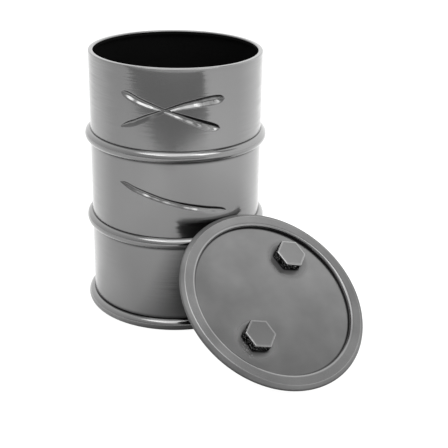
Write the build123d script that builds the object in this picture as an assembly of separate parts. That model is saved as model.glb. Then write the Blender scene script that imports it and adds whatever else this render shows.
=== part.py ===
from build123d import *
import math
import os

# A steel oil drum of 200 litres (55 US gallons) whose loose lid leans on its wall.
# Millimetres, +Z up. The origin is the centre of the drum's base, on the floor.
# The lid stands on the floor on the drum's -Y side and leans back on the wall.

# --- Drum body ---
drum_height = 889.0
body_radius = 286.8         # outside of the plain wall
sheet = 1.5                 # thickness of the wall, bottom and lid sheet

# --- Mouth: the wall's top edge is turned inward as a flat-topped hem ---
mouth_radius = 271.0
hem_depth = 13.0
hem_corner = 3.5

# --- Rolling hoops and foot ring: half-round rings pressed from thicker strip ---
ring_sheet = 2.5
hoop_section = 19.1         # outer radius of a hoop's half-round section
hoop_centre_radius = 285.7
upper_hoop_height = 606.6
lower_hoop_height = 313.4
foot_section = 19.9
foot_centre_radius = 287.3
foot_flat_depth = 0.4       # how much of the foot ring's round is flattened where it stands

# --- Bottom: an inverted pan inside the wall ---
bottom_floor = 19.0         # height of the drum's inside floor
seam_gap = 0.7              # the compound fills this gap between the bottom's flange and the wall
bottom_corner = 8.0
compound_low = 1.0
compound_high = 10.0

# --- Lap seam of the rolled wall, down the back ---
lap_width = 7.0
lap_height = 0.6
lap_margin = 3.0            # how far a run of the seam stays from a hoop, the foot ring or the hem

# --- Gouges: a round-nosed scar follows an arc through three points of the wall ---
# Each point is (azimuth in degrees, height, scar depth).
scar_radius = 20.0
falling_scar = ((-161.0, 803.0, 2.8), (-130.0, 751.0, 1.2), (-99.0, 694.0, 3.0))
rising_scar = ((-162.0, 694.0, 1.8), (-130.0, 761.0, 1.2), (-95.0, 787.5, 3.8))
long_scar = ((-164.0, 505.0, 0.7), (-128.0, 453.0, 2.0), (-92.0, 412.0, 2.6))

# --- Lid: pressed cover ---
lid_radius = 317.8          # outside of the rolled curl
curl_radius = 11.2          # outer radius of the curl's round section
curl_turn = 240.0           # degrees that the curl turns from the rim's flat top
recess_radius = 268.5       # inside of the recess wall
recess_depth = 15.2         # from the rim's top down to the panel
recess_corner = 4.5
gasket_inner_radius = 273.5
gasket_outer_radius = 286.0
gasket_height = 6.0
gasket_corner = 2.5

# --- Lid: where it leans ---
lid_tilt = 37.0             # degrees between the cover and the floor
lid_shift = -13.7           # how far the lid stands to one side of the drum's axis
lean_gap = 0.5              # between the curl and the wall

# --- Bungs: name and place on the lid, in the lid's own plane ---
bungs = (("low", -130.3, -99.5), ("high", 142.6, 117.9))
thread_radius = 28.6        # plug thread, as a plain cylinder
thread_bore = 29.0          # flange thread, as a plain bore
thread_length = 18.0
neck_radius = 33.0
neck_rise = 1.5             # the flange's neck stands this far out of the panel
collar_radius = 42.0
collar_thickness = 3.0
flange_gasket_thickness = 1.0
hex_corner_radius = 52.5
hex_turn = 38.0             # degrees from the lid's own X to a corner of the hexagon
hex_edge_round = 3.0
hex_chamfer = 2.0
head_top = 28.0             # from the panel up to the top of the head
head_lift = 0.5             # from the panel up to the head's underside
bung_gasket_radius = 40.0
bung_gasket_thickness = 2.0
plug_bore = 24.0            # the plug is hollow from below
plug_roof = 6.0

# --- Worked-out places ---
curl_centre_radius = lid_radius - curl_radius
panel_height = curl_radius - recess_depth
lid_place = Location(
    (
        lid_shift,
        -(body_radius + lean_gap + curl_radius + curl_centre_radius * math.cos(math.radians(lid_tilt))),
        curl_radius + curl_centre_radius * math.sin(math.radians(lid_tilt)),
    ),
    (lid_tilt, 0, 0),
)


def turned(section):
    """A round piece from its section, drawn with radius along X and height along Y."""
    return revolve(Plane.XZ * section, Axis.Z)


def turned_sheet(outline, thickness, side):
    """A round pressing from the outline of one face of its sheet; side is where the sheet lies."""
    return turned(make_face(outline.offset_2d(thickness, side=side)))


def slab(low_radius, high_radius, low, high):
    """A rectangle of a section between two radii and two heights."""
    return Pos((low_radius + high_radius) / 2, (low + high) / 2) * Rectangle(
        high_radius - low_radius, high - low
    )


def half_round_ring(centre_radius, centre_height, section_radius):
    """A pressed ring, round outside and open towards the wall that it is welded to."""
    strip = Circle(section_radius) - Circle(section_radius - ring_sheet)
    strip = Pos(centre_radius, centre_height) * strip
    outside = slab(body_radius, body_radius + 2 * section_radius, 0, drum_height)
    return turned(strip & outside)


def on_wall(azimuth, height, radius):
    """A point at an azimuth and a height, at a distance from the drum's axis."""
    angle = math.radians(azimuth)
    return (radius * math.cos(angle), radius * math.sin(angle), height)


def scar_track(points, radius):
    """A bar with round ends whose nose runs at each point's depth below the wall's face."""
    track = [on_wall(az, z, body_radius - depth + scar_radius) for az, z, depth in points]
    line = ThreePointArc(*track)
    bar = sweep(Plane(origin=line @ 0, z_dir=line % 0) * Circle(radius), path=line)
    return bar + Pos(*track[0]) * Sphere(radius) + Pos(*track[2]) * Sphere(radius)


def body_shell():
    """The rolled wall with its hem, lap seam and scars."""
    outline = FilletPolyline(
        (body_radius, 0),
        (body_radius, drum_height),
        (mouth_radius, drum_height),
        (mouth_radius, drum_height - hem_depth),
        radius=hem_corner,
    )
    shell = turned_sheet(Wire(outline.edges()), sheet, Side.LEFT)
    core = Cylinder(body_radius - sheet / 2, drum_height, align=(Align.CENTER, Align.CENTER, Align.MIN))
    for points in (falling_scar, rising_scar, long_scar):
        shell += scar_track(points, scar_radius + sheet) & core
    for points in (falling_scar, rising_scar, long_scar):
        shell -= scar_track(points, scar_radius)
    return shell + lap_seam()


def lap_seam():
    """The raised lap of the wall's own edge, in the runs between the rings."""
    hoop_reach = hoop_section + lap_margin
    runs = (
        (2 * foot_section + lap_margin, lower_hoop_height - hoop_reach),
        (lower_hoop_height + hoop_reach, upper_hoop_height - hoop_reach),
        (upper_hoop_height + hoop_reach, drum_height - hem_corner - lap_margin),
    )
    lap = [
        Pos(0, body_radius, (low + high) / 2) * Box(lap_width, 2 * sheet, high - low)
        for low, high in runs
    ]
    ring = slab(body_radius - sheet / 2, body_radius + lap_height, 0, drum_height)
    return Part() + [piece & turned(ring) for piece in lap]


def foot_ring():
    """The ring that the drum stands on."""
    return half_round_ring(foot_centre_radius, foot_section - foot_flat_depth, foot_section)


def bottom_head():
    """The inverted pan that closes the drum's lower end."""
    flange_radius = body_radius - sheet - seam_gap
    outline = FilletPolyline(
        (flange_radius, 0), (flange_radius, bottom_floor), (0, bottom_floor), radius=bottom_corner
    )
    return turned_sheet(Wire(outline.edges()), sheet, Side.LEFT)


def bottom_seam_compound():
    """The sealing ring between the bottom's flange and the wall."""
    outer = body_radius - sheet
    return turned(slab(outer - seam_gap, outer, compound_low, compound_high))


def lid_cover():
    """The cover in its own frame: Z is its normal, and the curl's centre plane is at zero."""
    dish = FilletPolyline(
        (0, panel_height),
        (recess_radius, panel_height),
        (recess_radius, curl_radius),
        (curl_centre_radius, curl_radius),
        radius=recess_corner,
    )
    curl = CenterArc((curl_centre_radius, 0), curl_radius, 90, -curl_turn)
    cover = turned_sheet(Wire(dish.edges() + curl.edges()), sheet, Side.RIGHT)
    for _, x, y in bungs:
        cover -= Pos(x, y, panel_height) * Cylinder(neck_radius, 4 * sheet)
    return cover


def lid_gasket():
    """The rubber ring under the rim's flat."""
    top = curl_radius - sheet
    section = slab(gasket_inner_radius, gasket_outer_radius, top - gasket_height, top)
    section = fillet(section.vertices().group_by(Axis.Y)[0], gasket_corner)
    return turned(section)


def bung_flange():
    """A threaded neck with a collar under the panel, centred on its own axis."""
    neck_top = panel_height + neck_rise
    collar_top = panel_height - sheet - flange_gasket_thickness
    neck = slab(thread_bore, neck_radius, neck_top - thread_length, neck_top)
    collar = slab(thread_bore, collar_radius, collar_top - collar_thickness, collar_top)
    return turned(neck + collar)


def flange_gasket():
    """The seal between the flange's collar and the panel's underside."""
    top = panel_height - sheet
    return turned(slab(neck_radius, collar_radius - 1, top - flange_gasket_thickness, top))


def bung_gasket():
    """The washer that the bung's head clamps onto the flange's neck."""
    low = panel_height + neck_rise
    return turned(slab(thread_bore + 0.3, bung_gasket_radius, low, low + bung_gasket_thickness))


def bung():
    """A hexagon-headed threaded plug, hollow from below."""
    underside = panel_height + head_lift
    top = panel_height + head_top
    seat = panel_height + neck_rise + bung_gasket_thickness
    hexagon = RegularPolygon(hex_corner_radius, 6, rotation=hex_turn)
    head = Pos(0, 0, underside) * extrude(hexagon, top - underside)
    head = fillet(head.edges().filter_by(Axis.Z), hex_edge_round)
    head = chamfer(head.faces().sort_by(Axis.Z)[-1].edges(), hex_chamfer)
    head -= turned(slab(0, bung_gasket_radius + 1, underside, seat))
    tip = panel_height + neck_rise - thread_length
    plug = turned(slab(0, thread_radius, tip, seat))
    hollow = turned(slab(0, plug_bore, tip, top - plug_roof))
    return head + plug - hollow


def write(name, shape):
    export_step(shape, f"parts/{name}.step")


os.makedirs("parts", exist_ok=True)

write("body_shell", body_shell())
write("upper_hoop", half_round_ring(hoop_centre_radius, upper_hoop_height, hoop_section))
write("lower_hoop", half_round_ring(hoop_centre_radius, lower_hoop_height, hoop_section))
write("foot_ring", foot_ring())
write("bottom_head", bottom_head())
write("bottom_seam_compound", bottom_seam_compound())
write("lid_cover", lid_place * lid_cover())
write("lid_gasket", lid_place * lid_gasket())

for bung_name, bung_x, bung_y in bungs:
    place = lid_place * Pos(bung_x, bung_y, 0)
    write(f"{bung_name}_bung_flange", place * bung_flange())
    write(f"{bung_name}_flange_gasket", place * flange_gasket())
    write(f"{bung_name}_bung_gasket", place * bung_gasket())
    write(f"{bung_name}_bung", place * bung())
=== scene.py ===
import math

import bpy
import numpy as np
from mathutils import Matrix, Vector


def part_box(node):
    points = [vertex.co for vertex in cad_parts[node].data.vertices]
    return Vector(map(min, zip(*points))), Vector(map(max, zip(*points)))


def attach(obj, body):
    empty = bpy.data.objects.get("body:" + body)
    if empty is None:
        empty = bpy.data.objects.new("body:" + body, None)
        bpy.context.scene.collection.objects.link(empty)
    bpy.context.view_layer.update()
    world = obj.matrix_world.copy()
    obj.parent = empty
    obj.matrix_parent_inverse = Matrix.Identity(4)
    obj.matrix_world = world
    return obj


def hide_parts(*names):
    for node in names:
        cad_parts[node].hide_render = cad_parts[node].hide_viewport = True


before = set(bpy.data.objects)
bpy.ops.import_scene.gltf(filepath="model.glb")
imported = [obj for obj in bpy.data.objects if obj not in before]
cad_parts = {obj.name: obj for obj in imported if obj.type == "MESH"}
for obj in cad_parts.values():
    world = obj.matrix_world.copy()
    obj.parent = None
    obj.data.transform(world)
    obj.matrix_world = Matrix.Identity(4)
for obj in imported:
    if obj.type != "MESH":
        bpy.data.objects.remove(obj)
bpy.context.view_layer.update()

# ---------------------------------------------------------------- drum, in metres
drum_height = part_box("body_shell")[1].z
body_radius = 0.2868
sheet = 0.0015
mouth_radius = 0.271
hem_depth = 0.013
hem_corner = 0.0035

# ---------------------------------------------------------------- camera
camera_azimuth = math.radians(-126.0)
camera_reach = 3.2916       # level distance from the drum's axis
camera_height = 1.6364
camera_pitch = 0.3949       # radians down from level
camera_yaw = 0.0515         # radians to the right of the drum's axis
camera_roll = 0.0195
camera_lens = 81.39         # millimetres, on the sensor width below
camera_sensor = 36.0


def add_camera():
    """The camera stands in front of the drum, above its mouth, and looks down at it."""
    swing = camera_azimuth + math.pi / 2
    away = Vector((-math.sin(swing), math.cos(swing), 0))
    across = Vector((math.cos(swing), math.sin(swing), 0))
    level = math.cos(camera_yaw) * away + math.sin(camera_yaw) * across
    forward = math.cos(camera_pitch) * level - Vector((0, 0, math.sin(camera_pitch)))
    right = math.cos(camera_yaw) * across - math.sin(camera_yaw) * away
    up = right.cross(forward)
    rolled_right = math.cos(camera_roll) * right + math.sin(camera_roll) * up
    rolled_up = math.cos(camera_roll) * up - math.sin(camera_roll) * right
    data = bpy.data.cameras.new("camera")
    data.lens = camera_lens
    data.sensor_width = camera_sensor
    camera = bpy.data.objects.new("camera", data)
    place = Vector((0, 0, camera_height)) - camera_reach * away
    turn = Matrix((rolled_right, rolled_up, -forward)).transposed()
    camera.matrix_world = Matrix.Translation(place) @ turn.to_4x4()
    bpy.context.scene.collection.objects.link(camera)
    bpy.context.scene.camera = camera


# ---------------------------------------------------------------- mesh code
def round_corners(points, radius, steps=6):
    """A run of straight lines with each inner corner rounded to the radius."""
    points = [np.array(p, float) for p in points]
    out = [points[0]]
    for before, corner, after in zip(points, points[1:], points[2:]):
        a = (before - corner) / np.linalg.norm(before - corner)
        b = (after - corner) / np.linalg.norm(after - corner)
        half = math.acos(np.clip(a @ b, -1, 1)) / 2
        centre = corner + (a + b) / np.linalg.norm(a + b) * radius / math.sin(half)
        start = corner + a * radius / math.tan(half) - centre
        end = corner + b * radius / math.tan(half) - centre
        turn = math.pi - 2 * half
        for i in range(steps + 1):
            t = i / steps
            swung = math.sin((1 - t) * turn) * start + math.sin(t * turn) * end
            out.append(centre + swung / math.sin(turn))
    out.append(points[-1])
    return out


def beside(path, gap):
    """The path moved sideways to its left by the gap."""
    path = np.array(path)
    step = np.diff(path, axis=0)
    side = np.stack([-step[:, 1], step[:, 0]], -1) / np.linalg.norm(step, axis=1)[:, None]
    mid = np.vstack([side[:1], side]) + np.vstack([side, side[-1:]])
    mid /= (mid * mid).sum(1)[:, None] / 2
    return path + gap * mid


def arc(centre, radius, start, turn, steps):
    """Points on an arc, in degrees from the first axis."""
    angles = np.radians(np.linspace(start, start + turn, steps + 1))
    return [(centre[0] + radius * math.cos(a), centre[1] + radius * math.sin(a)) for a in angles]


def mesh_piece(name, verts, faces, materials, crease=35.0):
    """A smooth-shaded object, sharp where its faces meet at more than the crease, in degrees."""
    mesh = bpy.data.meshes.new(name)
    mesh.from_pydata([tuple(v) for v in verts], [], faces)
    mesh.validate()
    mesh.polygons.foreach_set("use_smooth", [True] * len(mesh.polygons))
    mesh.set_sharp_from_angle(angle=math.radians(crease))
    piece = bpy.data.objects.new(name, mesh)
    bpy.context.scene.collection.objects.link(piece)
    for material in materials:
        mesh.materials.append(material)
    return piece


def mark(piece, name, values):
    """Gives each vertex of a piece a number that its paint reads by name."""
    attribute = piece.data.attributes.new(name, "FLOAT", "POINT")
    attribute.data.foreach_set("value", np.asarray(values, np.float32))


def window(x, start, full, end, none):
    """A soft-edged band: 0 up to start, 1 from full to end, and 0 again from none on."""
    return np.interp(x, (start, full, end, none), (0.0, 1.0, 1.0, 0.0))


def ring_faces(columns, count, closed):
    """Faces between columns of count vertices, the last column next to the first. A closed column is a loop."""
    rows = count if closed else count - 1
    faces = []
    for i in range(columns):
        j = (i + 1) % columns
        for k in range(rows):
            m = (k + 1) % count
            faces.append((i * count + k, j * count + k, j * count + m, i * count + m))
    return faces


def turned_mesh(profile, angles):
    """Vertices and faces of a closed profile of (radius, height) turned about Z."""
    profile = np.array(profile, float)
    radius, height = profile[:, 0], profile[:, 1]
    x, y = np.outer(np.cos(angles), radius), np.outer(np.sin(angles), radius)
    verts = np.stack([x, y, np.tile(height, (len(angles), 1))], -1).reshape(-1, 3)
    return verts, ring_faces(len(angles), len(profile), True)


def even_turn(steps):
    """Evenly spaced angles of one turn."""
    return np.linspace(0, 2 * math.pi, steps, endpoint=False)


# ---------------------------------------------------------------- shader nodes
# Here owner is what holds the node tree: a material or the world.
def add_node(owner, kind, **inputs):
    """A node with some inputs set. An underscore in a keyword stands for the space in the input's name."""
    node = owner.node_tree.nodes.new(kind)
    for name, value in inputs.items():
        node.inputs[name.replace("_", " ")].default_value = value
    return node


def ramp(owner, source, start, end, low=0.0, high=1.0):
    """Maps an output's range, start to end, onto low to high. Beyond it the value stays."""
    node = add_node(owner, "ShaderNodeMapRange", From_Min=start, From_Max=end, To_Min=low, To_Max=high)
    owner.node_tree.links.new(source, node.inputs["Value"])
    return node.outputs["Result"]


def stretch(owner, source, low, high):
    """Maps a 0 to 1 output onto low to high."""
    return ramp(owner, source, 0.0, 1.0, low, high)


def combine(owner, operation, first, second):
    """Two outputs added or multiplied."""
    node = owner.node_tree.nodes.new("ShaderNodeMath")
    node.operation = operation
    owner.node_tree.links.new(first, node.inputs[0])
    owner.node_tree.links.new(second, node.inputs[1])
    return node.outputs["Value"]


def vector_step(owner, operation, source, fixed=None):
    """A vector calculation on an output, with a fixed vector where it needs one."""
    node = owner.node_tree.nodes.new("ShaderNodeVectorMath")
    node.operation = operation
    if fixed is not None:
        node.inputs[1].default_value = fixed
    owner.node_tree.links.new(source, node.inputs[0])
    return node


def noise(owner, scale, detail, spread=(1, 1, 1)):
    """Noise in the piece's own metres, drawn out along an axis where spread is less than 1."""
    links = owner.node_tree.links
    place = owner.node_tree.nodes.new("ShaderNodeTexCoord")
    mapping = add_node(owner, "ShaderNodeMapping", Scale=spread)
    cloud = add_node(owner, "ShaderNodeTexNoise", Scale=scale, Detail=detail)
    links.new(place.outputs["Object"], mapping.inputs["Vector"])
    links.new(mapping.outputs["Vector"], cloud.inputs["Vector"])
    return cloud.outputs["Fac"]


def mark_value(owner, name):
    """The number that mark() gave to the piece's vertices. Without a mark it is 0."""
    node = owner.node_tree.nodes.new("ShaderNodeAttribute")
    node.attribute_name = name
    return node.outputs["Fac"]


# ---------------------------------------------------------------- paints
gloss_spread = 0.03         # how far the roughness goes to each side
speck_scale = 280.0
speck_levels = (0.60, 0.66)     # the noise levels where a speck begins and is full
peel_scale, peel_strength, peel_depth = 60.0, 0.02, 0.002
band_scale, band_spread = 30.0, (0.25, 0.25, 8.0)      # the level bands of rolled sheet
patch_scale, patch_levels = 5.0, (0.38, 0.62)          # patches where the bands are weaker or stronger


def rolled_normal(material, amount):
    """The wall's normal, turned a little sideways in thin level bands, as rolled sheet is."""
    links = material.node_tree.links
    normal = material.node_tree.nodes.new("ShaderNodeNewGeometry").outputs["Normal"]
    across = vector_step(material, "CROSS_PRODUCT", normal, (0, 0, 1)).outputs["Vector"]
    patches = ramp(material, noise(material, patch_scale, 1.0), *patch_levels, 0.3 * amount, 1.7 * amount)
    bands = stretch(material, noise(material, band_scale, 3.0, band_spread), -1.0, 1.0)
    scaled = vector_step(material, "SCALE", across)
    links.new(combine(material, "MULTIPLY", bands, patches), scaled.inputs["Scale"])
    turned = vector_step(material, "ADD", normal)
    links.new(scaled.outputs["Vector"], turned.inputs[1])
    return vector_step(material, "NORMALIZE", turned.outputs["Vector"]).outputs["Vector"]


def paint(
    name, grey, rough=0.17, variation=0.01, metal=1.0, roll=0.0, specks=0.0, shine=0.5, cloud_scale=6.0, dull=0.0
):
    """Enamel, bare metal or rubber: colour and gloss vary softly, and it has a faint orange peel.

    The vertices' darkening mark darkens it: painted shade in creases, recesses, scars and round the bungs, and
    plain darkening elsewhere. With specks it shows light grains where they are marked, with dull it loses gloss
    where its halo_mask is marked, and with roll it shows how the sheet was rolled.
    """
    material = bpy.data.materials.new(name)
    material.use_nodes = True
    links = material.node_tree.links
    shader = material.node_tree.nodes["Principled BSDF"]
    shader.inputs["Metallic"].default_value = metal
    shader.inputs["Specular IOR Level"].default_value = shine
    cloud = noise(material, cloud_scale, 5.0)
    # the darkening mark, mostly painted shade, darkens the colour
    undarkened = stretch(material, mark_value(material, "darkening"), 1.0, 0.0)
    colour = combine(material, "MULTIPLY", stretch(material, cloud, grey - variation, grey + variation), undarkened)
    if specks:
        grain = ramp(material, noise(material, speck_scale, 1.0), *speck_levels, 0.0, specks)
        marked = combine(material, "MULTIPLY", grain, mark_value(material, "specks"))
        colour = combine(material, "ADD", colour, marked)
    links.new(colour, shader.inputs["Base Color"])
    roughness = stretch(material, cloud, rough - gloss_spread, rough + gloss_spread)
    if dull:
        smudged = stretch(material, mark_value(material, "halo_mask"), 0.0, dull)
        roughness = combine(material, "ADD", roughness, smudged)
    links.new(roughness, shader.inputs["Roughness"])
    bump = add_node(material, "ShaderNodeBump", Strength=peel_strength, Distance=peel_depth)
    links.new(noise(material, peel_scale, 2.0), bump.inputs["Height"])
    if roll:
        links.new(rolled_normal(material, roll), bump.inputs["Normal"])
    links.new(bump.outputs["Normal"], shader.inputs["Normal"])
    return material


gunmetal = paint("gunmetal_enamel", 0.229, rough=0.16, roll=0.075)
ring_enamel = paint("ring_enamel", 0.235, rough=0.15)
lining = paint("black_lining", 0.004, rough=0.4, variation=0.001, metal=0.0, shine=0.08)
lid_enamel = paint("lid_enamel", 0.265, rough=0.19, variation=0.05, specks=0.5, cloud_scale=11.0, dull=0.5)
bung_enamel = paint("bung_enamel", 0.25, rough=0.24, variation=0.02)
# painted shade: near black paint on the bungs' head sides, which face down away from the light
black_side_shade = paint("black_side_shade", 0.004, rough=0.35, variation=0.002, metal=0.0, specks=0.3, shine=0.0)
# worn paint and a painted highlight on the bung heads' top edges
worn_edge_highlight = paint("worn_edge_highlight", 0.325, rough=0.26, variation=0.05)
bare_steel = paint("zinc_plated_steel", 0.5, rough=0.35, variation=0.05)
rubber = paint("black_rubber", 0.02, rough=0.6, variation=0.005, metal=0.0)
compound = paint("seam_compound", 0.05, rough=0.7, variation=0.01, metal=0.0)

# ---------------------------------------------------------------- drum wall
# Each scar has a run of (azimuth in degrees, height, width); the painted shade in its upper side at the azimuths
# of shade_azimuths; and the painted shade of its lower side, as (azimuth in degrees, share by which it is
# darkened).
falling_scar = (
    (
        (-162.0, 0.8040, 0.002), (-157.5, 0.7965, 0.0240), (-148.5, 0.7800, 0.0235), (-140.0, 0.7675, 0.0185),
        (-132.0, 0.7545, 0.0145), (-123.5, 0.7390, 0.0205), (-116.0, 0.7240, 0.0260), (-107.5, 0.7070, 0.0300),
        (-101.5, 0.6974, 0.0250), (-97.5, 0.6930, 0.0040),
    ),
    (0.35, 0.72, 0.94),
    (
        (-158.0, 0.1), (-140.0, 0.05), (-133.0, 0.4), (-128.5, 0.0), (-125.0, 0.1), (-121.0, 0.5), (-110.0, 0.45),
        (-105.0, 0.1),
    ),
)
rising_scar = (
    (
        (-161.9, 0.6935, 0.008), (-157.0, 0.7030, 0.0190), (-152.0, 0.7130, 0.0210), (-144.7, 0.7305, 0.0200),
        (-136.0, 0.7495, 0.0155), (-131.0, 0.7585, 0.0145), (-123.5, 0.7700, 0.0205), (-116.0, 0.7775, 0.0260),
        (-106.0, 0.7840, 0.0315), (-99.0, 0.7862, 0.0290), (-94.5, 0.7870, 0.0040),
    ),
    (0.25, 0.5, 0.38),
    (
        (-158.0, 0.45), (-144.0, 0.5), (-141.0, 0.1), (-137.0, 0.5), (-130.0, 0.4), (-121.0, 0.0), (-111.5, 0.05),
        (-109.0, 0.65), (-104.0, 0.7), (-99.0, 0.5),
    ),
)
long_scar = (
    (
        (-164.5, 0.5050, 0.002), (-160.0, 0.5010, 0.0150), (-155.0, 0.4918, 0.0190), (-144.0, 0.4758, 0.0195),
        (-131.0, 0.4570, 0.0180), (-118.0, 0.4400, 0.0205), (-105.0, 0.4245, 0.0225), (-96.0, 0.4156, 0.0185),
        (-91.5, 0.4112, 0.0020),
    ),
    (0.55, 0.8, 0.95),
    (
        (-160.0, 0.4), (-155.0, 0.3), (-150.0, 0.0), (-145.0, 0.1), (-141.0, 0.45), (-134.0, 0.2), (-130.0, 0.0),
        (-121.0, 0.35), (-112.0, 0.05),
    ),
)
shade_azimuths = (-158.0, -128.0, -105.0)
scar_slope = 0.58           # a scar's depth, as a share of half its width
groove_places = (-1.0, -0.8, -0.1, 0.2, 0.55, 1.0)     # across the scar, from its lower to its upper edge
groove_depths = (0.0, 0.10, 0.95, 1.0, 0.85, 0.0)
scarred_heights = ((0.395, 0.525), (0.678, 0.818))
scar_row = 0.0014           # gap between the mesh rows at the scars
crease_above, crease_below, crease_foot = 0.5, 0.8, 0.85    # painted shade on the wall beside a hoop and the foot ring
# painted shade over the whole hem, dimming its highlight
hem_shade = 0.24
lap_turn = math.radians(90.0)
lap_width = 0.007
lap_height = 0.0006
lap_runs = ((0.043, 0.291), (0.3355, 0.5845), (0.6287, 0.8825))     # heights where the seam is in sight
hoop_section = 0.0191
hoop_centre_radius = 0.2857
hoop_heights = (0.6066, 0.3134)
# painted shade where a hoop meets the wall
hoop_crease_shade = 0.65
foot_section = 0.0199
foot_centre_radius = 0.2873
foot_centre_height = 0.0195
# painted shade where the foot ring meets the wall
foot_crease_shade = 0.85
ring_sheet = 0.0025
ring_hollow_low = 0.0008    # a ring's hollow ends this far above the floor


def smooth_run(points, steps=24):
    """A Catmull-Rom curve through the points."""
    p = np.array(points, float)
    p = np.vstack([2 * p[0] - p[1], p, 2 * p[-1] - p[-2]])
    out = []
    for a, b, c, d in zip(p, p[1:], p[2:], p[3:]):
        square, cube = 2 * a - 5 * b + 4 * c - d, 3 * b - a - 3 * c + d
        for t in np.arange(steps) / steps:
            out.append(0.5 * (2 * b + (c - a) * t + square * t**2 + cube * t**3))
    return np.array(out + [p[-2]])


def scar_dent(azimuth, height, points, upper_shades, lower_shades):
    """How deep one scar presses the wall in at each place, and how much painted shade lies there.

    A scar has a steep upper side, painted darker as shade, a narrow floor and a slanting lower side, painted
    darker in places.
    """
    run = smooth_run(points)
    centre = np.stack([np.radians(run[:, 0]) * body_radius, run[:, 1]], -1)
    half = np.maximum(run[:, 2], 0.001) / 2
    step = np.gradient(centre, axis=0)
    step /= np.linalg.norm(step, axis=1)[:, None]
    above = np.stack([-step[:, 1], step[:, 0]], -1)
    along = np.concatenate([[0], np.cumsum(np.linalg.norm(np.diff(centre, axis=0), axis=1))])
    uneven = 1 + 0.07 * np.sin(along / 0.0125) + 0.05 * np.sin(along / 0.0052 + 1.0)
    place = np.stack([azimuth * body_radius, height], -1)
    dent, darkening = np.zeros(len(place)), np.zeros(len(place))
    margin, batch = 0.03, 4000
    low, high = centre.min(0) - margin, centre.max(0) + margin
    near = np.where(((place > low) & (place < high)).all(1))[0]
    for start in range(0, len(near), batch):
        some = near[start:start + batch]
        offset = place[some][:, None] - centre[None]
        share = np.linalg.norm(offset, axis=2) / half[None]
        best = share.argmin(1)
        across = (offset[np.arange(len(some)), best] * above[best]).sum(1) / half[best]
        inside = np.clip((1.12 - share.min(1)) / 0.12, 0, 1)
        deep = scar_slope * half[best] * uneven[best]
        dent[some] = deep * np.interp(across, groove_places, groove_depths) * inside
        # painted shade on the scar's steep upper side
        upper = np.interp(run[best, 0], shade_azimuths, upper_shades) * window(across, 0.14, 0.38, 0.96, 1.15)
        # painted shade on the scar's lower side, at some azimuths
        lower = np.interp(run[best, 0], *zip(*lower_shades)) * window(across, -1.0, -0.75, -0.1, 0.14)
        darkening[some] = np.maximum(upper, lower) * inside
    return dent, darkening


def wall_marks(azimuth, height):
    """Depth and painted shade of all the wall's scars, the painted shade in its creases, and the raised lap seam.
    """
    dent, darkening = np.zeros(len(azimuth)), np.zeros(len(azimuth))
    for scar in (falling_scar, rising_scar, long_scar):
        one_dent, one_shade = scar_dent(azimuth, height, *scar)
        darkening = np.where(one_dent > dent, one_shade, np.maximum(darkening, one_shade * (dent == 0)))
        dent = np.maximum(dent, one_dent)
    # painted shade in the creases above and below each hoop
    for middle in hoop_heights:
        top, low = middle + hoop_section, middle - hoop_section
        darkening = np.maximum(darkening, crease_above * window(height, top - 0.001, top, top + 0.0005, top + 0.003))
        darkening = np.maximum(darkening, crease_below * window(height, low - 0.007, low - 0.002, low, low + 0.001))
    # painted shade in the crease above the foot ring
    top = foot_centre_height + foot_section
    darkening = np.maximum(darkening, crease_foot * window(height, top - 0.001, top, top + 0.001, top + 0.012))
    seam = window(np.abs(azimuth - lap_turn) * body_radius, -1.0, 0.0, lap_width / 2 - 0.0008, lap_width / 2)
    for low, high in lap_runs:
        dent = dent - lap_height * seam * window(height, low - 0.002, low, high, high + 0.002)
    return dent, darkening


def wall_rows():
    """Heights of the wall's mesh rows, close together at the scars and at the rings' creases."""
    rows = [0.0, 0.02, 0.038, 0.0394, 0.0404, 0.043, 0.046, 0.052, 0.1, 0.2]
    for low, high in scarred_heights:
        rows += list(np.arange(low, high, scar_row))
    for middle in hoop_heights:
        top, low = middle + hoop_section, middle - hoop_section
        rows += [low - 0.03, low - 0.010, low - 0.006, low - 0.003, low, low + 0.001, middle]
        rows += [top - 0.001, top, top + 0.0005, top + 0.0035, top + 0.006, top + 0.02]
    rows += [0.54, 0.56, 0.83, 0.85, 0.87]
    return sorted(rows)


def wall_angles():
    """Angles of the wall's mesh columns, close together over the scarred side and at the lap seam."""
    scarred = np.radians(np.arange(-168.0, -88.0, 0.3))
    before = np.radians(np.arange(-88.0, 88.5, 1.25))
    seam = np.radians(np.arange(89.0, 91.05, 0.08))
    behind = np.radians(np.arange(91.5, 191.5, 1.25))
    return np.concatenate([scarred, before, seam, behind])


def drum_shell():
    """The wall and its turned-in hem, black inside."""
    hem_start = 0.875
    hem = round_corners(
        ((body_radius, hem_start), (body_radius, drum_height), (mouth_radius, drum_height),
         (mouth_radius, drum_height - hem_depth)), hem_corner
    )
    outer = [(body_radius, z) for z in wall_rows()] + [tuple(p) for p in hem]
    profile = np.vstack([outer, beside(outer, sheet)[::-1]])
    count = len(profile)
    angles = wall_angles()
    verts, faces = turned_mesh(profile, angles)
    azimuth = np.repeat(angles, count)
    azimuth = np.where(azimuth > math.pi, azimuth - 2 * math.pi, azimuth)
    is_wall = np.tile(np.abs(profile[:, 0] - body_radius) < 1.01 * sheet, len(angles))
    dent, darkening = wall_marks(azimuth, verts[:, 2])
    scale = 1 - np.where(is_wall, dent, 0.0) / np.hypot(verts[:, 0], verts[:, 1])
    verts[:, 0] *= scale
    verts[:, 1] *= scale
    shell = mesh_piece("drum_shell", verts, faces, (gunmetal, lining), crease=60.0)
    # painted shade of the scars and creases on the wall, and over the hem
    mark(shell, "darkening", np.where(is_wall, darkening, hem_shade))
    for polygon in shell.data.polygons:
        polygon.material_index = int(min(v % count for v in polygon.vertices) >= len(outer) - 2)
    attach(shell, "drum")
    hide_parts("body_shell")


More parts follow.
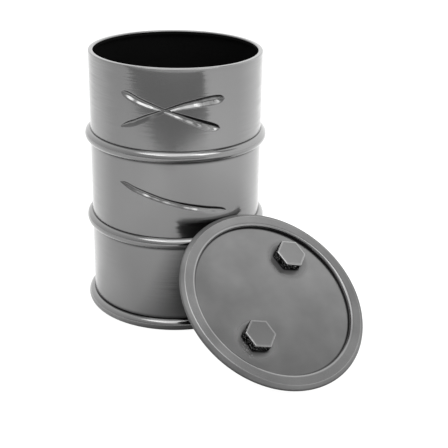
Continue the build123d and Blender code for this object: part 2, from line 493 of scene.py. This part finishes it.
def ring(node, centre_radius, centre_height, section, crease_shade):
    """A half-round ring round the wall, with painted shade where it meets the wall and on its lowest part."""
    reach = math.degrees(math.acos((body_radius - centre_radius) / section))
    centre = (centre_radius, centre_height)
    outer = [(r, max(z, 0.0)) for r, z in arc(centre, section, -reach, 2 * reach, 40)]
    inner = arc(centre, section - ring_sheet, -reach, 2 * reach, 40)
    inner = [(r, max(z, ring_hollow_low)) for r, z in inner]
    profile = np.array(outer + inner[::-1])
    angles = even_turn(288)
    verts, faces = turned_mesh(profile, angles)
    piece = mesh_piece(node + "_pressing", verts, faces, (ring_enamel,))
    # painted shade in the crease against the wall
    darkening = crease_shade * window(profile[:, 0] - body_radius, -1.0, 0.0, 0.0010, 0.0035)
    # painted shade low down, next to the floor
    low_shade = np.interp(profile[:, 1], (0.004, 0.022), (0.34, 0.0))
    mark(piece, "darkening", np.tile(np.maximum(darkening, low_shade), len(angles)))
    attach(piece, "drum")
    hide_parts(node)


# ---------------------------------------------------------------- lid
lid_tilt = math.radians(37.0)
curl_radius = 0.0112        # of the round curl in the CAD, on which the lid stands and leans
curl_centre_radius = 0.3066
lean_gap = 0.0005
lid_shift = -0.0137
panel_height = -0.0040
panel_top = panel_height + 0.001    # below this a point is on the panel
panel_radius = 0.2665
step_radius = 0.2685        # of the step round the panel
step_foot = 0.001
lip_radius = 0.0095
rim_radius = 0.3030         # where the flat rim ends
shoulder_radius, side_radius, nose_radius = 0.003, 0.180, 0.0063    # the curl's three arcs
shoulder_end, side_end, nose_end = 58.0, 54.0, -160.0               # degrees up from the lid's plane
bungs = (("low", -0.1303, -0.0995), ("high", 0.1426, 0.1179))
halo_start = 0.046        # from a bung's middle; its halo of painted shade and dulled gloss is full up to here
halo_end = 0.078          # and gone from here on
halo_back = (0.8, 0.6)    # the halo is weakest and narrowest on this side of the bung
foot_back = (0.918, 0.397)  # the painted shadow at a bung's foot is on the side away from this
neck_radius = 0.033
lid_across = np.array((1.0, 0.0, 0.0))
lid_up = np.array((0.0, math.cos(lid_tilt), math.sin(lid_tilt)))
lid_out = np.array((0.0, -math.sin(lid_tilt), math.cos(lid_tilt)))
lid_centre = np.array((
    lid_shift,
    -(body_radius + lean_gap + curl_radius + curl_centre_radius * math.cos(lid_tilt)),
    curl_radius + curl_centre_radius * math.sin(lid_tilt),
))
# Painted shade on the curl, as (degrees round the lid, share by which the curl is darkened).
curl_shade = (
    (0, 0.65), (45, 0.65), (60, 0.5), (80, 0.0), (130, 0.0), (145, 0.48), (190, 0.48), (215, 0.38), (240, 0.17),
    (285, 0.08), (315, 0.08), (330, 0.35), (345, 0.65), (360, 0.65),
)
# painted shade in the halo round each bung
halo_shade = 0.64
# strength of the painted shadow at each bung's foot
foot_shadow = 0.96
# painted shade in the step round the panel
step_shade = 0.94
dull_side = math.radians(15.0)      # the curl is dullest on this side of the lid
speck_offset = (-0.055, -0.019)     # from the low bung's middle to its patch of specks
speck_patch = (0.012, 0.032)


def from_lid(verts):
    """Moves points from the lid's own frame, whose Z is the cover's normal, to where it leans."""
    verts = np.asarray(verts)
    return lid_centre + verts[:, :1] * lid_across + verts[:, 1:2] * lid_up + verts[:, 2:] * lid_out


def lid_top():
    """The cover's upper face, from the middle of the panel over the lip and the rim, round the curl."""
    lip_height = curl_radius - lip_radius
    path = [(r, panel_height) for r in np.linspace(0.0, panel_radius, 72)]
    path += arc((step_radius - step_foot, panel_height + step_foot), step_foot, -90, 90, 4)
    path += [(step_radius, z) for z in np.linspace(panel_height + 0.002, lip_height - 0.001, 4)]
    path += arc((step_radius + lip_radius, lip_height), lip_radius, 180, -90, 14)
    flat_start = step_radius + lip_radius + 0.003
    path += [(r, curl_radius) for r in np.linspace(flat_start, rim_radius - 0.003, 8)]
    path += arc((rim_radius, curl_radius - shoulder_radius), shoulder_radius, 90, shoulder_end - 90, 6)
    start = shoulder_end
    for radius, end, steps in ((side_radius, side_end, 6), (nose_radius, nose_end, 18)):
        turn = math.radians(start)
        middle = (path[-1][0] - radius * math.cos(turn), path[-1][1] - radius * math.sin(turn))
        path += arc(middle, radius, start, end - start, steps)[1:]
        start = end
    return path


def bung_halo(places):
    """A soft halo of painted shade and dulled gloss round each bung, wider on its lower left, for points in the
    lid's own frame.
    """
    halo_mask = np.zeros(len(places))
    for _, x, y in bungs:
        gap = np.hypot(places[:, 0] - x, places[:, 1] - y)
        along = (x - places[:, 0]) * halo_back[0] + (y - places[:, 1]) * halo_back[1]
        side = along / np.maximum(gap, 0.001)
        end = halo_end + 0.012 * side
        halo = (0.80 + 0.20 * side) * np.clip((end - gap) / (end - halo_start), 0, 1) ** 1.3
        halo_mask = np.maximum(halo_mask, np.where(places[:, 2] < panel_top, halo, 0.0))
    return halo_mask


def bung_foot_shadow(places):
    """A painted shadow: a black band on the panel along the lower left sides of each bung."""
    band = np.zeros(len(places))
    for _, x, y in bungs:
        away = places[:, :2] - (x, y)
        gap = np.hypot(away[:, 0], away[:, 1])
        beyond = gap - hex_radius(np.degrees(np.arctan2(away[:, 1], away[:, 0])), 0.0)
        side = (foot_back[0] * away[:, 0] + foot_back[1] * away[:, 1]) / np.maximum(gap, 0.001)
        foot = np.clip((0.0075 - beyond) / 0.004, 0, 1) * np.clip(0.5 - side, 0, 1)
        band = np.maximum(band, np.where(places[:, 2] < panel_top, foot, 0.0))
    return band


def lid_shade_and_darkening(places):
    """Painted shade in the step round the panel; besides, the panel is darker towards its edges and the rim on its
    right and bottom.
    """
    radius = np.hypot(places[:, 0], places[:, 1])
    # painted shade down in the step
    in_step = window(radius, 0.2645, 0.2670, 0.2700, 0.2740)
    step = in_step * np.interp(places[:, 2], (0.0, 0.0045), (1.0, 0.0))
    # darker towards the panel's bottom, left and right, and on the rim's right and bottom
    low = np.interp(places[:, 1], (-0.25, 0.05, 0.10, 0.20), (0.29, 0.05, 0.05, 0.12))
    left = np.interp(places[:, 0], (-0.22, -0.05), (0.22, 0.0))
    right = np.interp(places[:, 0], (0.05, 0.30), (0.03, 0.34))
    bottom = np.interp(places[:, 1], (-0.28, -0.15), (0.12, 0.0))
    panel = np.maximum(np.maximum(low, left), 0.3 * right)
    darkening = np.where(radius < 0.268, panel, np.maximum(right, bottom))
    return np.maximum(darkening, step_shade * step)


def cut_bung_holes(cover):
    """Gives the cover its two holes, and returns its new mesh."""
    reach = 0.02
    section = ((0.0, -reach), (neck_radius, -reach), (neck_radius, reach), (0.0, reach))
    cutters = []
    for name, x, y in bungs:
        tool, tool_faces = turned_mesh(section, even_turn(96))
        cutter = mesh_piece(name + "_cutter", tool + np.array((x, y, panel_height)), tool_faces, (lid_enamel,))
        hole = cover.modifiers.new(name, "BOOLEAN")
        hole.operation = "DIFFERENCE"
        hole.solver = "EXACT"
        hole.object = cutter
        cutters.append(cutter)
    depsgraph = bpy.context.evaluated_depsgraph_get()
    cut = bpy.data.meshes.new_from_object(cover.evaluated_get(depsgraph))
    cover.modifiers.clear()
    cover.data = cut
    for cutter in cutters:
        bpy.data.objects.remove(cutter)
    return cut


def mark_lid(cover, places):
    """Marks the cover's painted shade and other darkening, its dulled halos and its specks, for its vertices in
    the lid's own frame.
    """
    azimuth = np.arctan2(places[:, 1], places[:, 0])
    halo_mask = bung_halo(places)
    curl = window(np.hypot(places[:, 0], places[:, 1]), 0.3038, 0.3055, 0.33, 0.34)
    dull = 0.6 + 0.9 * np.clip(1.5 * np.cos(azimuth - dull_side) - 0.5, 0, 1)
    mark(cover, "halo_mask", np.maximum(halo_mask**1.5, curl * dull))
    # painted shade in the halo round each bung
    darkening = np.maximum(lid_shade_and_darkening(places), halo_shade * halo_mask**0.6)
    # painted shade on the curl, varying round the lid
    darkening = np.maximum(darkening, curl * np.interp(np.degrees(azimuth) % 360, *zip(*curl_shade)))
    # painted shadow along each bung's foot
    mark(cover, "darkening", np.maximum(darkening, foot_shadow * bung_foot_shadow(places)))
    x, y = bungs[0][1] + speck_offset[0], bungs[0][2] + speck_offset[1]
    spot = np.hypot((places[:, 0] - x) / speck_patch[0], (places[:, 1] - y) / speck_patch[1])
    mark(cover, "specks", np.clip(1.3 - spot, 0, 1) * (places[:, 2] < panel_top))


def lid_cover():
    """The pressed cover, with a hole for each bung's flange and a black underside."""
    crease = 50.0
    top = np.array(lid_top())
    profile = np.vstack([top, beside(top, -sheet)[::-1]])
    count = len(profile)
    verts, faces = turned_mesh(profile, even_turn(360))
    cover = mesh_piece("lid_pressing", verts, faces, (lid_enamel, lining), crease)
    for polygon in cover.data.polygons:
        polygon.material_index = int(min(v % count for v in polygon.vertices) >= len(top) - 1)
    cut = cut_bung_holes(cover)
    places = np.empty(3 * len(cut.vertices))
    cut.vertices.foreach_get("co", places)
    places = places.reshape(-1, 3)
    mark_lid(cover, places)
    cut.vertices.foreach_set("co", from_lid(places).ravel())
    cut.set_sharp_from_angle(angle=math.radians(crease))
    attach(cover, "lid")
    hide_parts("lid_cover")


# ---------------------------------------------------------------- bungs
hex_corner_radius = 0.0525
hex_turn = 38.0             # degrees
hex_edge_round = 0.0045     # of the head's six upright edges
hex_bevel = 0.0032
worn_width = 0.0066         # of the lighter band round the head's top, bevel included: worn paint and a painted highlight
head_top = panel_height + 0.028
head_low = panel_height + 0.0005
head_seat = panel_height + 0.0035
washer_room = 0.041
thread_crest = 0.0289
thread_root = 0.0277
thread_pitch = 0.002309
thread_rows_a_turn = 8
plug_tip = panel_height - 0.0165
plug_bore = 0.024
plug_roof = head_top - 0.006
bung_darkening = {"low": 0.24, "high": 0.08}      # how much each plug's colour is darkened


def hex_angles():
    """Degrees round a bung's head: close together at its six rounded corners."""
    near = (-2.0, -1.3, -0.65, 0.0, 0.65, 1.3, 2.0)
    flat = tuple(range(5, 56, 5))
    return np.array([hex_turn + 60 * corner + a for corner in range(6) for a in near + flat])


def hex_radius(angles, inset):
    """How far a hexagon with rounded corners, drawn in by the inset, reaches at each angle in degrees."""
    cos_30 = math.cos(math.radians(30))
    apothem = hex_corner_radius * cos_30 - inset
    round_off = max(hex_edge_round - 0.5 * inset, 0.0004)
    away = np.radians((angles - hex_turn + 30) % 60 - 30)
    flat = apothem / np.cos(math.radians(30) - np.abs(away))
    centre = apothem / cos_30 - round_off / cos_30
    corner = centre * np.cos(away) + np.sqrt(np.clip(round_off**2 - (centre * np.sin(away)) ** 2, 0, None))
    in_corner = centre * np.abs(np.sin(away)) < round_off * 0.5
    return np.where(in_corner, corner, flat)


def bung(name, x, y):
    """A hexagon-headed plug, hollow from below, with a real thread."""
    angles = hex_angles()
    columns = len(angles)
    rows = [(0.0, plug_roof), (plug_bore, plug_roof), (plug_bore, plug_tip), (thread_root, plug_tip)]
    thread_rows = int((head_low - plug_tip) / thread_pitch * thread_rows_a_turn)
    thread_end = len(rows) + thread_rows
    for height in np.linspace(plug_tip + 0.0002, head_low, thread_rows):
        phase = (height / thread_pitch - angles / 360.0) % 1.0
        crest = 1 - 2 * np.abs(phase - 0.5)
        fade = np.clip((height - plug_tip) / 0.003, 0, 1) * np.clip((head_low - height) / 0.002, 0, 1)
        rows.append((thread_root + (thread_crest - thread_root) * crest * fade, height))
    rows += [(thread_root, head_seat), (washer_room, head_seat), (washer_room, head_low)]
    rows += [(hex_radius(angles, 0.0006), head_low), (hex_radius(angles, 0.0), head_low + 0.0006)]
    side_end = len(rows)
    for turn in np.radians(np.linspace(0, 90, 6)):
        inset = hex_bevel * (1 - math.cos(turn))
        rows.append((hex_radius(angles, inset), head_top - hex_bevel * (1 - math.sin(turn))))
    rows.append((hex_radius(angles, worn_width), head_top - 0.0001))
    worn_end = len(rows) - 1
    rows += [(hex_radius(angles, worn_width + 0.004), head_top - 0.0002), (0.0, head_top - 0.0002)]
    count = len(rows)
    turns = np.radians(angles)
    verts = []
    for radius, height in rows:
        radius = np.broadcast_to(radius, columns)
        verts.append(np.stack([radius * np.cos(turns), radius * np.sin(turns), np.full(columns, height)], -1))
    verts = np.stack(verts, 1).reshape(-1, 3)
    faces = ring_faces(columns, count, False)
    materials = (bung_enamel, black_side_shade, worn_edge_highlight, bare_steel)
    placed = from_lid(verts + np.array((x, y, 0.0)))
    piece = mesh_piece(name + "_bung_plug", placed, faces, materials, crease=40.0)
    for polygon in piece.data.polygons:
        row = min(v % count for v in polygon.vertices)
        if row < thread_end:
            polygon.material_index = materials.index(bare_steel)
        # the head's sides get the near black painted shade
        elif row < side_end:
            polygon.material_index = materials.index(black_side_shade)
        elif row < worn_end:
            polygon.material_index = materials.index(worn_edge_highlight)
    mark(piece, "darkening", np.full(len(verts), bung_darkening[name]))
    mark(piece, "specks", np.ones(len(verts)))
    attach(piece, name + "_bung")
    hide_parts(name + "_bung")


# ---------------------------------------------------------------- surroundings
# Directions in the room, from the drum: towards the camera, to the camera's right, and up.
toward = Vector((math.cos(camera_azimuth), math.sin(camera_azimuth), 0))
rightward = Vector((-math.sin(camera_azimuth), math.cos(camera_azimuth), 0))
upward = Vector((0, 0, 1))


def room_place(forward, right, height):
    """A place: metres from the drum's axis towards the camera and to its right, and above the floor."""
    return forward * toward + right * rightward + height * upward


def room_direction(turn, rise):
    """A direction: degrees to the right of the camera, and degrees above the floor."""
    turn, rise = math.radians(turn), math.radians(rise)
    return math.cos(rise) * (math.cos(turn) * toward + math.sin(turn) * rightward) + math.sin(rise) * upward


def sheet_in_room(name, corners, material):
    """A flat stage piece that casts no shadow."""
    mesh = bpy.data.meshes.new(name)
    mesh.from_pydata([tuple(c) for c in corners], [], [tuple(range(len(corners)))])
    mesh.materials.append(material)
    thing = bpy.data.objects.new(name, mesh)
    bpy.context.scene.collection.objects.link(thing)
    thing.visible_shadow = False
    return thing


def plain(name, grey, emission=0.0):
    """A matt material for the stage, which may also glow white."""
    material = bpy.data.materials.new(name)
    material.use_nodes = True
    shader = material.node_tree.nodes["Principled BSDF"]
    shader.inputs["Base Color"].default_value = (grey, grey, grey, 1)
    shader.inputs["Roughness"].default_value = 0.9
    shader.inputs["Specular IOR Level"].default_value = 0.0
    shader.inputs["Emission Color"].default_value = (1, 1, 1, 1)
    shader.inputs["Emission Strength"].default_value = emission
    return material


def floor_sheet():
    """The material of the sheet that the drum's gloss reflects, in shades of white: a painted shadow round the
    lid's foot, painted shade far out to the front left, and a painted glow to the right, behind the drum and at
    its left.
    """
    lid_foot = (-0.06, -0.68, 0)    # a painted shadow on the sheet is darkest here, round the lid's foot
    left_spot = (-0.35, 0.30, 0)    # it glows here, to the drum's left
    front_left = 0.5 * toward - 0.87 * rightward
    white = plain("painted_shade_and_glow_white", 0.85)
    links = white.node_tree.links
    shader = white.node_tree.nodes["Principled BSDF"]
    place = white.node_tree.nodes.new("ShaderNodeTexCoord").outputs["Object"]
    way = vector_step(white, "NORMALIZE", place).outputs["Vector"]
    gap = vector_step(white, "DISTANCE", place, lid_foot).outputs["Value"]
    # painted shadow round the lid's foot, paler farther out
    near = ramp(white, gap, 0.34, 0.66, 0.18, 0.69)
    far = ramp(white, gap, 1.05, 1.40, 0.0, 0.17)
    # painted shade far out to the front left
    shaded = ramp(white, vector_step(white, "DOT_PRODUCT", way, front_left).outputs["Value"], 0.72, 0.97, 1.0, 0.5)
    outer = combine(white, "MULTIPLY", far, shaded)
    links.new(combine(white, "ADD", near, outer), shader.inputs["Base Color"])
    aside = vector_step(white, "DOT_PRODUCT", place, rightward).outputs["Value"]
    behind = vector_step(white, "DOT_PRODUCT", way, -toward).outputs["Value"]
    spill = vector_step(white, "DISTANCE", place, left_spot).outputs["Value"]
    # painted glow to the right, behind the drum and at its left
    right_glow = ramp(white, aside, 0.4, 1.6, 0.02, 0.20)
    back_glow = ramp(white, behind, -0.05, 0.45, 0.0, 0.29)
    left_glow = ramp(white, spill, 0.12, 0.45, 0.32, 0.0)
    glow = combine(white, "ADD", combine(white, "ADD", right_glow, back_glow), left_glow)
    links.new(glow, shader.inputs["Emission Strength"])
    return white


def add_floor():
    """A lit white table that the camera sees, and under it the sheet that the drum's gloss reflects."""
    size, drop = 30.0, 0.001
    corners = [Vector((x * size, y * size, 0)) for x, y in ((-1, -1), (1, -1), (1, 1), (-1, 1))]
    table = sheet_in_room("lit_table", corners, plain("lit_white", 0.2, emission=0.95))
    table.visible_glossy = False
    table.visible_diffuse = False
    below = [c - Vector((0, 0, drop)) for c in corners]
    sheet_in_room("white_sheet", below, floor_sheet()).visible_camera = False


def add_world():
    """A pale room, brighter behind the drum and to its right, with a soft dim spot high on the right."""
    brightness = 1.2
    slope = 0.33 * rightward - 0.40 * toward
    dim_way, dim_edge, dim_core, dim_share = room_direction(86, 52), 19, 6, 0.42
    world = bpy.data.worlds.new("studio")
    bpy.context.scene.world = world
    world.use_nodes = True
    nodes, links = world.node_tree.nodes, world.node_tree.links
    background = nodes["Background"]
    background.inputs["Color"].default_value = (1, 1, 1, 1)
    way = nodes.new("ShaderNodeTexCoord").outputs["Generated"]
    level = nodes.new("ShaderNodeMath")
    level.operation = "ADD"
    level.inputs[1].default_value = brightness
    links.new(vector_step(world, "DOT_PRODUCT", way, slope).outputs["Value"], level.inputs[0])
    dip = add_node(
        world, "ShaderNodeMapRange", From_Min=math.cos(math.radians(dim_edge)),
        From_Max=math.cos(math.radians(dim_core)), To_Min=1.0, To_Max=dim_share
    )
    dip.interpolation_type = "SMOOTHSTEP"
    links.new(vector_step(world, "DOT_PRODUCT", way, dim_way).outputs["Value"], dip.inputs["Value"])
    shade = combine(world, "MULTIPLY", level.outputs["Value"], dip.outputs["Result"])
    links.new(shade, background.inputs["Strength"])


def add_flag():
    """A grey card low in front of the drum, which only its gloss reflects."""
    distance = 1.6
    outline = (     # metres to the right, and above the floor
        (-2.9, 0.16), (-2.28, 0.145), (-1.9, 0.14), (-1.3, 0.18), (-0.9, 0.175), (-0.68, 0.145), (-0.1, 0.145),
        (0.1, 0.18), (0.5, 0.20), (0.8, 0.19), (1.1, 0.17), (1.36, 0.18), (1.36, 0.22), (1.07, 0.40), (1.02, 0.60),
        (-3.2, 0.60),
    )
    corners = [room_place(distance, right, height) for right, height in outline]
    flag = sheet_in_room("flag", corners, plain("flag_grey", 0.0, emission=0.45))
    flag.visible_camera = False
    flag.visible_diffuse = False


def add_softbox(name, centre, aim, width, height, radiance):
    """A rectangular light at a place in the room, turned to face another place."""
    data = bpy.data.lights.new(name, "AREA")
    data.shape = "RECTANGLE"
    data.size = width
    data.size_y = height
    data.energy = radiance * math.pi * width * height
    light = bpy.data.objects.new(name, data)
    turn = (centre - aim).to_track_quat("Z", "Y").to_matrix().to_4x4()
    light.matrix_world = Matrix.Translation(centre) @ turn
    light.visible_camera = False
    bpy.context.scene.collection.objects.link(light)


def add_lights():
    """A large box over the floor in front of the drum, and two smaller lights high up to its right and left."""
    middle = room_place(0, 0, 0.6)
    reach = 2.5
    add_softbox("softbox", room_place(1.4, -0.2, 2.8), room_place(1.4, -0.2, 0), 2.5, 2.5, 1.6)
    add_softbox("key_light", middle + reach * room_direction(46, 47), middle, 1.0, 1.0, 2.7)
    add_softbox("left_light", middle + reach * room_direction(-33, 48), middle, 1.0, 0.5, 2.2)


def finish_cad_nodes():
    """Materials for the nodes that keep their CAD shape. The drum's floor is black on its upper side."""
    finishes = {
        "bottom_head": ring_enamel, "bottom_seam_compound": compound, "lid_gasket": rubber,
        "low_bung_flange": bare_steel, "high_bung_flange": bare_steel,
        "low_flange_gasket": rubber, "high_flange_gasket": rubber,
        "low_bung_gasket": rubber, "high_bung_gasket": rubber,
    }
    for name, finish in finishes.items():
        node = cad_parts[name]
        node.data.materials.clear()
        node.data.materials.append(finish)
    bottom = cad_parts["bottom_head"].data
    bottom.materials.append(lining)
    for polygon in bottom.polygons:
        polygon.material_index = int(polygon.normal.z > 0.1)


add_camera()
add_world()
add_floor()
add_flag()
add_lights()
drum_shell()
for hoop_node, hoop_height in zip(("upper_hoop", "lower_hoop"), hoop_heights):
    ring(hoop_node, hoop_centre_radius, hoop_height, hoop_section, hoop_crease_shade)
ring("foot_ring", foot_centre_radius, foot_centre_height, foot_section, foot_crease_shade)
lid_cover()
for bung_name, bung_x, bung_y in bungs:
    bung(bung_name, bung_x, bung_y)
finish_cad_nodes()

bpy.context.scene.view_settings.view_transform = "Standard"
